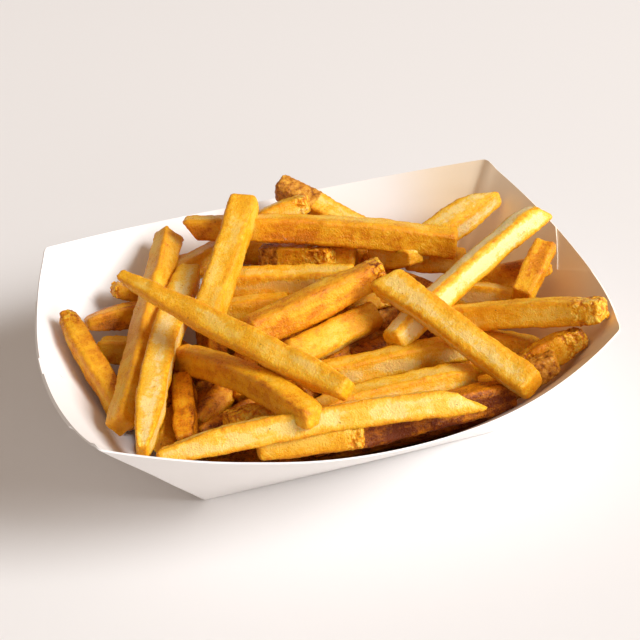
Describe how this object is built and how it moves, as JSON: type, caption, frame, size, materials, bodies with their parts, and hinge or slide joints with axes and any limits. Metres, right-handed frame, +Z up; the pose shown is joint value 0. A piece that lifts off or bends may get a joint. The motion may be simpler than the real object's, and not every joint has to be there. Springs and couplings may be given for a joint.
{
  "type": "french fries in a paper food tray",
  "caption": "White folded paperboard food tray, open at the top, heaped with golden french fries; stands on its flat base.",
  "frame": {"origin": "middle of the underside of the tray's flat base, on the surface that it stands on", "axes": "+X along the tray's longer side, +Y across it, +Z up out of the tray"},
  "size_m": [0.1728, 0.1452, 0.0589],
  "materials": {
    "board": "matte",
    "potato": "satin"
  },
  "bodies": {
    "root": {"tray": "board", "fries": "potato"}
  },
  "joints": []
}
